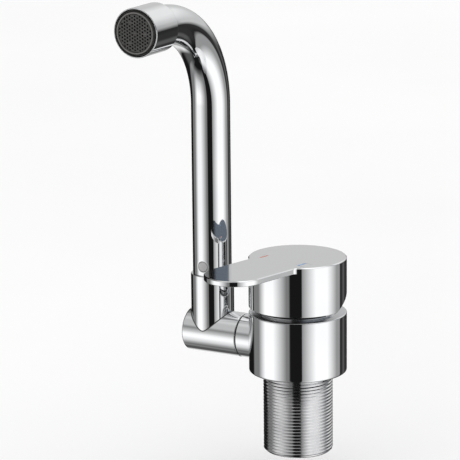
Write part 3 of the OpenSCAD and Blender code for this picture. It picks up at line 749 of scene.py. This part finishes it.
low_friction = plastic_finish("washer_plastic", (0.02, 0.02, 0.02), (0.045, 0.045, 0.045), rough=0.4,
                              patch=300.0)
dress(steel, "hinge_bolt")
dress(rubber, "hinge_bolt_seals")
washer_low, washer_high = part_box("hinge_friction_washer")
washer_bore_r, washer_edge = 0.00506, 0.00012
washer = rounded([
    (washer_bore_r, -washer_high.x, 0), (washer_high.y, -washer_high.x, washer_edge),
    (washer_high.y, -washer_low.x, washer_edge), (washer_bore_r, -washer_low.x, 0),
], closed=True)
make_turned("friction_washer", "base", "washer_plastic", low_friction, "hinge_friction_washer", side_axis,
            LEFT, washer)


# Swing hub: a chromed brass tee. The level barrel turns on the hinge bolt, and the upright socket holds
# the spout. The two meet in a saddle-shaped corner with a very small fillet.
hub_low, hub_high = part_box("swing_hub")
cap_low, cap_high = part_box("hub_end_cap")
spout_x = hinge[0]
hub_r, hub_start, hub_end = hub_high.y, -hub_high.x, -hub_low.x
rim_top = hub_high.z
hub_socket_r, saddle_fillet = 0.01, 0.00025
hub_lip, hub_edge, rim_edge_out, rim_edge_in, cap_seat_edge = 0.0003, 0.0008, 0.0003, 0.0004, 0.00015
hub_bore_r, head_bore_r, head_floor = 0.00506, 0.0082, 0.0504
tube_low, tube_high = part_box("spout_tube")
tube_hole_r = tube_high.x - spout_x + fit
well_r, well_floor = 0.00725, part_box("spout_spigot")[0].z
socket_window, hub_steps, hub_rows, hub_back_steps = math.radians(115), 64, 24, 72
hub_back, hub_around = window_angles(socket_window, hub_steps, hub_back_steps)
barrel_start, barrel_end = hub_start + hub_lip + spout_x, hub_end - hub_edge + spout_x
hub_window, saddle, socket_wall = tee(
    hub_r, hub_socket_r, saddle_fillet, 1, barrel_start, barrel_end, socket_window,
    rim_top - rim_edge_out - hinge[2], hub_steps, hub_rows,
)
barrel = upright(hub_r, barrel_start, barrel_end, hub_steps, hub_back)
hub_ends = rounded([
    (hub_r, hub_end - 2 * hub_edge, 0), (hub_r, hub_end, hub_edge),
    (cap_high.y + fit, hub_end, cap_seat_edge), (cap_high.y + fit, -cap_high.x, 0),
    (head_bore_r, -cap_high.x, 0), (head_bore_r, head_floor, 0), (hub_bore_r, head_floor, 0),
    (hub_bore_r, hub_start, 0), (hub_r, hub_start, hub_lip), (hub_r, hub_start + 2 * hub_lip, 0),
])[1:-1] + [0, spout_x]
socket_inside = rounded([
    (hub_socket_r, rim_top - 2 * rim_edge_out, 0), (hub_socket_r, rim_top, rim_edge_out),
    (tube_hole_r, rim_top, rim_edge_in), (tube_hole_r, tube_low.z, 0), (well_r, tube_low.z, 0),
    (well_r, well_floor, 0), (0, well_floor, 0),
])[1:] - [0, hinge[2]]


def saddle_shade_line(place, width=0.0002, fade=0.001, least=0.01):
    """1 in the corner where the socket stands on the barrel, and 0 elsewhere. There the chrome is painted dark as
    painted shade in the crease, and is made rougher.

    The gap to each wall is measured along the other wall. That is the gap over the sine of the angle between
    the walls, whose cosine is y * y / (hub_r * hub_socket_r) where they meet.
    """
    x, y, z = split(place)
    from_barrel = distance(y, z - hinge[2]) - hub_r
    from_socket = distance(x - spout_x, y) - hub_socket_r
    cosine = y * y * (1 / (hub_r * hub_socket_r))
    sine = x.maths("SQRT", x.maths("MAXIMUM", 1 - cosine * cosine, least))
    near_barrel, near_socket = [
        ramp(gap.maths("DIVIDE", gap.maths("ABSOLUTE", gap), sine), 2 * width, width)
        for gap in (from_barrel, from_socket)
    ]
    return near_barrel * near_socket * ramp(z, hinge[2], hinge[2] + fade)


# The corner where the socket meets the barrel is painted dark: painted shade in the crease.
hub_chrome = chrome_finish("hub_chrome", (saddle_shade_line, (0.12, 0.12, 0.12), 0.3))
make_piece("swing_tee", "spout", "chrome", hub_chrome, ["swing_hub"], [
    placed(grid, hinge, UP, LEFT) for grid in (
        hub_window, saddle, socket_wall, barrel, spun(hub_ends, hub_around),
        spun_along(socket_inside, from_corner(hub_steps)),
    )
])


# Hub end cap: a thin chromed disc pressed into the hub's free end to cover the bolt's head.
# Its edge is rounded, and its face is a very flat dome, as a stamped disc has.
def domed(radius, top, edge, dome, rows):
    """The outline of a domed face: a quarter round, then reach = top - dome * (r / face_r) ** 2."""
    face_r = radius - edge
    share = np.linspace(1, 0, rows + 1)
    corner = arc((face_r, top - dome - edge), edge, 0, np.pi / 2, edge_steps)[0]
    return np.concatenate([corner, np.column_stack([face_r * share, top - dome * share ** 2])])


cap_edge, cap_dome, cap_rows = 0.0004, 0.00025, 12
cap_start, cap_end = -cap_high.x, -cap_low.x
make_turned("hub_cap", "spout", "chrome", chrome, "hub_end_cap", side_axis, LEFT, np.concatenate([
    [(0, cap_start), (cap_high.y, cap_start)], domed(cap_high.y, cap_end, cap_edge, cap_dome, cap_rows),
]))


# Spigot: a brass stub with two round seals, fixed in the hub's socket and out of sight in the tube.
# The spout tube slides on to it, and the snap button stands in it.
brass = metal_finish("turned_brass", (0.68, 0.51, 0.24), (0.80, 0.64, 0.34), rough=0.22, rough_spread=0.08,
                     patch=150.0)
dress(brass, "spout_spigot")
dress(rubber, "spigot_seals")


# Snap button and its spring: a grey plastic plug in the spigot that pops out through a hole in the tube
# and locks it. A small steel coil behind it pushes it out, and gives way when it is pressed.
grey_plastic = plastic_finish("button_plastic", (0.36, 0.36, 0.36), (0.42, 0.42, 0.42), rough=0.38,
                              patch=500.0)
button_low, button_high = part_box("lock_button")
spring_low, spring_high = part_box("button_spring")
button_z = (button_low.z + button_high.z) / 2
button_axis = (spout_x, 0, button_z)
button_r, flange_r = 0.0023, (button_high.z - button_low.z) / 2
flange_t, button_edge, button_dome, button_rows = 0.001, 0.0003, 0.00012, 8
button_back, button_face = -button_high.y, -button_low.y
flange_face = button_back + flange_t
plug = np.concatenate([
    [(0, button_back), (flange_r, button_back), (flange_r, flange_face), (button_r, flange_face)],
    domed(button_r, button_face, button_edge, button_dome, button_rows),
])
make_turned("snap_button", "button", "button_plastic", grey_plastic, "lock_button", button_axis, FRONT, plug)

wire_r, wire_sides, coil_turns, turn_steps = 0.00025, 10, 4, 32
coil_r = (spring_high.z - spring_low.z) / 2 - wire_r
coil_start, coil_end = -spring_high.y + wire_r, -spring_low.y - wire_r
sweep = np.linspace(0, 2 * np.pi * coil_turns, coil_turns * turn_steps + 1)[:, None]
rise = (coil_end - coil_start) / (2 * np.pi * coil_turns)
section = np.linspace(0, 2 * np.pi, wire_sides + 1)
# A round wire on a helix: reach grows evenly with the turn, and the wire's circle stands across the coil.
coil = np.stack([
    coil_start + rise * sweep + wire_r * np.sin(section),
    (coil_r + wire_r * np.cos(section)) * np.cos(sweep),
    (coil_r + wire_r * np.cos(section)) * np.sin(sweep),
], axis=-1)
coil = placed(coil, button_axis, FRONT, UP)
spring = make_piece("button_coil", "spout", "steel", steel, ["button_spring"], [coil],
                    [filled(coil[0, :-1]), filled(coil[-1, :-1])])
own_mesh(spring)


# Spout tube: a thin brass tube, bent once through a right angle, polished and chromed.
# Its lower end slides over the spigot into the socket, and a hole in its front takes the snap button.
housing_low, housing_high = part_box("outlet_housing")
outlet_z = (housing_low.z + housing_high.z) / 2
tube_wall, bend_r, button_play, tube_hole_edge = 0.001, 0.0422, 0.0002, 0.00015
tube_r = tube_high.x - spout_x
tube_inner_r = tube_r - tube_wall
bend_z = outlet_z - bend_r
tube_hole = button_r + button_play
pane_half, pane_window = 0.0065, math.radians(60)
tube_steps, tube_back_steps, bend_steps = 32, 88, 72
tube_back, tube_around = window_angles(pane_window, tube_steps, tube_back_steps)


def along_spout(radius, start):
    """A round wall carried up the tube from height start, round the bend and out to the tube's end.

    Across the tube a point is cos a towards the front and sin a to the side. In the bend, the front turns
    downwards while the centre follows a quarter circle.
    """
    bend = np.linspace(0, np.pi / 2, bend_steps + 1)
    centre = np.concatenate([
        [(0, start)], np.column_stack([-bend_r + bend_r * np.cos(bend), bend_z + bend_r * np.sin(bend)]),
        [(tube_low.y, outlet_z)],
    ])
    lean = np.concatenate([[0], bend, [np.pi / 2]])[:, None]
    return np.stack([
        spout_x + radius * np.sin(tube_around) + 0 * lean,
        centre[:, :1] - radius * np.cos(tube_around) * np.cos(lean),
        centre[:, 1:] - radius * np.cos(tube_around) * np.sin(lean),
    ], axis=-1)


tube_walls = []
for radius, edge in ((tube_r, tube_hole_edge), (tube_inner_r, 0)):
    pane, pane_edge, stub = tee(radius, tube_hole, edge, -1, -pane_half, pane_half, pane_window,
                                tube_inner_r, tube_steps)
    beside = upright(radius, -pane_half, pane_half, tube_steps, tube_back)
    beneath = spun([(radius, tube_low.z - button_z), (radius, -pane_half)], tube_around)
    tube_walls.append((
        [placed(grid, button_axis, FRONT, UP) for grid in (pane, pane_edge, beside, beneath)],
        placed(stub[:1], button_axis, FRONT, UP), along_spout(radius, button_z + pane_half),
    ))
(outer_grids, outer_brink, outer_run), (inner_grids, inner_brink, inner_run) = tube_walls
make_piece("bent_tube", "spout", "chrome", chrome, ["spout_tube"], [
    *outer_grids, *inner_grids[:1], *inner_grids[2:], outer_run, inner_run,
    np.concatenate([outer_brink, inner_brink]), np.stack([outer_grids[3][0], inner_grids[3][0]]),
    np.stack([outer_run[-1], inner_run[-1]]),
])


# Outlet housing: a turned and chromed sleeve, soldered on the tube's end, with a thin bright rim.
# A lip inside it stops the tube from behind and takes the aerator's washer in front.
cage_low, cage_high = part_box("aerator_cage")
aerator_seal_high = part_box("aerator_seal")[1]
housing_r = (housing_high.z - housing_low.z) / 2
housing_back, housing_front = -housing_high.y, -housing_low.y
recess_r = (cage_high.z - cage_low.z) / 2 + fit
lip_r, back_edge, back_edge_in, front_edge, front_edge_in = 0.0084, 0.0008, 0.0001, 0.0003, 0.0002
outlet_axis = (spout_x, 0, outlet_z)
make_turned("outlet_sleeve", "spout", "chrome", chrome, "outlet_housing", outlet_axis, FRONT, rounded([
    (tube_hole_r, housing_back, back_edge_in), (housing_r, housing_back, back_edge),
    (housing_r, housing_front, front_edge), (recess_r, housing_front, front_edge_in),
    (recess_r, -aerator_seal_high.y, 0), (lip_r, -aerator_seal_high.y, 0), (lip_r, -tube_low.y, 0),
    (tube_hole_r, -tube_low.y, 0),
], closed=True))


# Aerator: a dark moulded insert in the outlet, with a rubber washer and a flow disc behind it.
# Its cage has a narrower nose with a raised rim, and its face is a plate with a honeycomb of small holes,
# four of them blank.
screen_low, screen_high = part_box("aerator_screen")
nose_r, nose_edge, cage_inset, cage_edge = 0.0093, 0.0003, 0.002, 0.0002
cage_front, cage_back = -cage_low.y, -cage_high.y
screen_r = (screen_high.z - screen_low.z) / 2
screen_front, screen_back = -screen_low.y, -screen_high.y


def nose_highlight_and_wear(place, start=0.00025, full=0.0001):
    """1 on the cage's foremost edge, and 0 elsewhere. The edge is painted paler: a painted highlight on its
    rounding, together with rubbing wear.
    """
    return ramp(split(place)[1], start - cage_front, full - cage_front)


def shaded_hole_walls(place, start=0.00004, full=0.00015):
    """1 behind the front of the screen, on the walls of its holes and its back, and 0 on its front. There it is
    painted nearly black and made rougher, as painted shade in the holes.
    """
    return ramp(split(place)[1], start - screen_front, full - screen_front)


def aerator_finish(name, *parts):
    """The aerator's dark plastic, with any parts of the piece that differ."""
    return plastic_finish(name, (0.055, 0.054, 0.051), (0.075, 0.074, 0.07), rough=0.42, patch=350.0,
                          parts=parts)


# The nose's foremost edge is painted paler, as a painted highlight together with rubbing wear.
cage_plastic = aerator_finish("aerator_cage_plastic", (nose_highlight_and_wear, (0.14, 0.138, 0.132), 0.0))
# The walls of the screen's holes are painted nearly black: painted shade in the holes.
screen_plastic = aerator_finish("aerator_screen_plastic", (shaded_hole_walls, (0.006, 0.006, 0.005), 0.2))
dress(rubber, "aerator_seal")
dress(black_plastic, "aerator_flow_disc")
cage_step = housing_front - cage_inset
cage = rounded([
    (screen_r + fit, cage_back, 0), (recess_r - fit, cage_back, cage_edge),
    (recess_r - fit, cage_step, cage_edge), (nose_r, cage_step, 0),
    (nose_r, cage_front, nose_edge), (screen_r + fit, cage_front, nose_edge),
], closed=True)
make_turned("aerator_ring", "spout", "aerator_plastic", cage_plastic, "aerator_cage", outlet_axis,
            FRONT, cage)

hole_pitch, hole_r, hole_rings, hole_margin, screen_sides = 0.0015, 0.000475, 6, 0.00015, 96
column, step = np.mgrid[-hole_rings:hole_rings + 1, -hole_rings:hole_rings + 1].reshape(2, -1)
hole_at = hole_pitch * np.column_stack([column * math.sqrt(3) / 2, step + column / 2])
# The middle hole and three holes round it, a third of a turn apart, are blank.
blank_at = arc((0, 0), 2 * math.sqrt(3) * hole_pitch, 0, 4 / 3 * np.pi, 2)[0]
from_middle = np.linalg.norm(hole_at, axis=1)
to_blank = np.linalg.norm(hole_at[:, None] - blank_at, axis=-1).min(axis=1)
is_open = np.minimum(from_middle, to_blank) > hole_pitch / 2
hole_at = hole_at[is_open & (from_middle < screen_r + fit - hole_r - hole_margin)]
hexagon = arc((0, 0), hole_r, 0, 2 * np.pi, 6)[0][:-1]
hole_plans = hole_at[:, None] + hexagon
screen_plan = arc((0, 0), screen_r, 0, 2 * np.pi, screen_sides)[0][:-1]


def on_screen(plan, reach):
    """Points of the screen's plan, (side, up), at a reach along the outlet."""
    return placed(np.column_stack([np.full(len(plan), reach), plan]), outlet_axis, FRONT, UP)


make_piece("aerator_face", "spout", "aerator_plastic", screen_plastic, ["aerator_screen"],
           [np.stack([on_screen(closed_loop(plan), reach) for reach in (screen_back, screen_front)])
            for plan in (screen_plan, *hole_plans)],
           [filled(*[on_screen(plan, reach) for plan in (screen_plan, *hole_plans)])
            for reach in (screen_back, screen_front)])


# Studio: a pale floor, a long lens to the right of the tap's front, and a room that lights the tap with two
# tall softboxes, a pale ceiling and back wall, small lights low behind, and dark gaps between them.
# The chrome shows that room, while the camera itself sees plain white.
camera_azimuth, camera_elevation, camera_roll = 29.918, 13.605, -0.56
camera_aim, camera_distance = (-0.02844, -0.01205, 0.06556), 1.33
focal_length, sensor_width = 228.12, 36
world = bpy.data.worlds.new("studio")
world.use_nodes = True
bpy.context.scene.world = world
room = world.node_tree.nodes["Background"]
way = Wire(world.node_tree.nodes.new("ShaderNodeTexCoord").outputs["Generated"])
way_x, way_y, way_z = split(way)
turn_z = math.radians(camera_azimuth)
to_right = way_x * math.cos(turn_z) + way_y * math.sin(turn_z)
to_camera = way_x * math.sin(turn_z) - way_y * math.cos(turn_z)
# Where a ray goes, in degrees: to the right of the camera, and above the level.
bearing = way.maths("ARCTAN2", to_right, to_camera) * (180 / math.pi)
climb = way.maths("ARCSINE", way_z) * (180 / math.pi)


def softbox(strength, left, right, low, high):
    """A lit patch of the room. Each of its four sides fades in over a pair of angles."""
    return strength * (ramp(bearing, *left) * ramp(bearing, *right) * ramp(climb, *low) * ramp(climb, *high))


all_round, over_the_top = ((-200, -190), (200, 190)), (100, 95)
strip_sides = ((7, 25), (117, 114), (3, 8), (24, 20))
left_sides = ((-106, -84), (-28, -62))
softboxes = [
    # The right softbox: its dim rim, its bright middle, the strip across it and its upper half.
    softbox(0.34, (7.5, 9.5), (117, 114), (-85, -60), (8, 3)),
    softbox(0.86, (10, 42), (102, 72), (-80, -55), (8, 3)),
    softbox(0.17, *strip_sides),
    softbox(0.9, (10, 42), (125, 100), (20, 28), over_the_top),
    # The left softbox: its dim rim, then its brighter middle, foot and head.
    softbox(0.22, (-130, -124), (-19, -23), (-70, -54), (80, 60)),
    softbox(0.65, *left_sides, (-52, -26), (16, -8)),
    softbox(0.35, *left_sides, (-62, -44), (-4, -16)),
    softbox(0.35, *left_sides, (14, 26), (80, 60)),
    # The ceiling, and the back wall with a brighter patch on its right.
    softbox(0.5, *all_round, (45, 75), over_the_top),
    softbox(0.62, (112, 120), all_round[1], (-4, 4), over_the_top),
    softbox(0.62, all_round[0], (-165, -172), (-4, 4), over_the_top),
    softbox(0.3, (112, 125), (175, 155), (10, 28), (75, 45)),
    # Small lights low behind the tap, and the glow beside them.
    softbox(0.85, all_round[0], (-160, -174), (-70, -50), (-16, -24)),
    softbox(0.45, (156, 176), all_round[1], (-65, -45), (-16, -24)),
    softbox(0.09, all_round[0], (-100, -110), (-80, -70), (-40, -52)),
    softbox(0.6, (172, 176), all_round[1], (-24, -16), (2, -4)),
    softbox(0.6, all_round[0], (-172, -176), (-24, -16), (2, -4)),
    softbox(0.025, (115, 120), (165, 160), (-60, -40), (2, -2)),
    softbox(0.07, (126, 131), (142, 137), (-60, -40), (2, -2)),
]
gap_light, even_light = 0.01, 1.03
shown = sum(softboxes, gap_light)
# The strip between the lower and the upper half of the right softbox is bluish, like a window's light.
strip = softbox(0.05, *strip_sides)
strip_tints = {"Red": -0.6, "Green": 0.0, "Blue": 0.8}
is_glossy = way.node("ShaderNodeLightPath", {}, {}, "Is Glossy Ray")
is_camera = way.node("ShaderNodeLightPath", {}, {}, "Is Camera Ray")
room_colours = {
    name: (1 - is_camera) * (is_glossy * (shown + tint * strip) + (1 - is_glossy) * even_light) + is_camera
    for name, tint in strip_tints.items()
}
feed(room.inputs["Color"], way.node("ShaderNodeCombineColor", {}, room_colours))

# A quarter turn of the spout brings the outlet's reach below the hinge, and the floor lies under that.
floor_size, floor_gap = 3.0, 0.0005
floor_z = min(cad_box[0].z, hinge[2] + cage_low.y) - floor_gap
floor_mesh = bpy.data.meshes.new("floor")
floor_mesh.from_pydata([(x * floor_size, y * floor_size, floor_z) for x, y in
                        ((-1, -1), (1, -1), (1, 1), (-1, 1))], [], [(0, 1, 2, 3)])
floor = bpy.data.objects.new("floor", floor_mesh)
bpy.context.scene.collection.objects.link(floor)
floor_paint, floor_shader, floor_place = new_finish("floor_paint")
floor_dark, floor_light, floor_patch, floor_rough = (0.94, 0.94, 0.94), (0.97, 0.97, 0.97), 3.0, 0.9
feed(floor_shader.inputs["Base Color"], between(clouds(floor_place, floor_patch), floor_dark, floor_light))
floor_shader.inputs["Roughness"].default_value = floor_rough
floor_mesh.materials.append(floor_paint)
floor.visible_glossy = False
floor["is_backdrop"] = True

lens = bpy.data.cameras.new("camera")
lens.lens = focal_length
lens.sensor_width = sensor_width
lens.clip_start = 0.01
camera = bpy.data.objects.new("camera", lens)
bpy.context.scene.collection.objects.link(camera)
tilt_x = math.radians(90 - camera_elevation)
camera.matrix_world = (
    Matrix.Translation(camera_aim) @ Matrix.Rotation(turn_z, 4, "Z") @ Matrix.Rotation(tilt_x, 4, "X")
    @ Matrix.Rotation(math.radians(camera_roll), 4, "Z") @ Matrix.Translation((0, 0, camera_distance))
)
bpy.context.scene.camera = camera
bpy.context.scene.view_settings.view_transform = "Standard"

boxes = {"cad": cad_box, "visual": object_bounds()}
{name: [list(corner) for corner in box] for name, box in boxes.items()}
